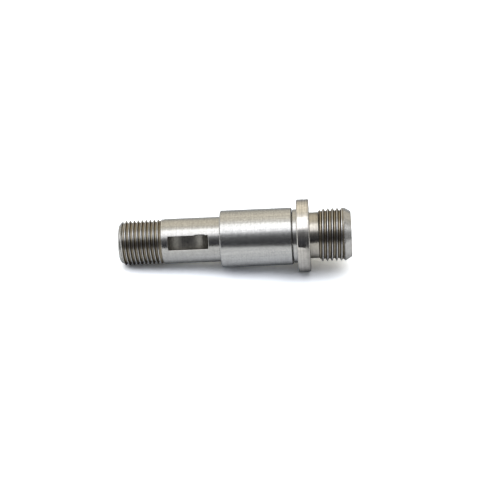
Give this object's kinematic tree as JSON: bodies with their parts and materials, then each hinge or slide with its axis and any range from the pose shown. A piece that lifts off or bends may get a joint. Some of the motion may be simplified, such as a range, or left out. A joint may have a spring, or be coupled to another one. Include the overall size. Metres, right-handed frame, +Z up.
{
  "type": "keyed threaded spindle",
  "caption": "Stepped steel spindle with a half-round keyseat, a thread at each end of opposite hand, a bearing sleeve it turns in and a pressed thrust collar.",
  "frame": {"origin": "on the spindle's axis, at the middle of the bearing sleeve", "axes": "+X along the spindle's axis towards the left-hand thread and the thrust collar; the keyed end points to -X; +Z is up, and the keyseat faces forward (-Y) and 28 degrees up"},
  "size_m": [0.0822, 0.0258, 0.0258],
  "materials": {
    "turned_steel": "fine turned and ground, darker in the thread roots",
    "ground_steel": "ground, satin, a little mottled",
    "polished_steel": "polished, nearly mirror bright"
  },
  "bodies": {
    "sleeve": {"bearing_sleeve": "ground_steel"},
    "spindle": {"spindle": "turned_steel", "thrust_collar": "polished_steel"}
  },
  "joints": [
    {"name": "spindle_spin", "type": "hinge", "parent": "sleeve", "child": "spindle", "pos_m": [0, 0, 0], "axis": [1, 0, 0], "continuous": true}
  ]
}
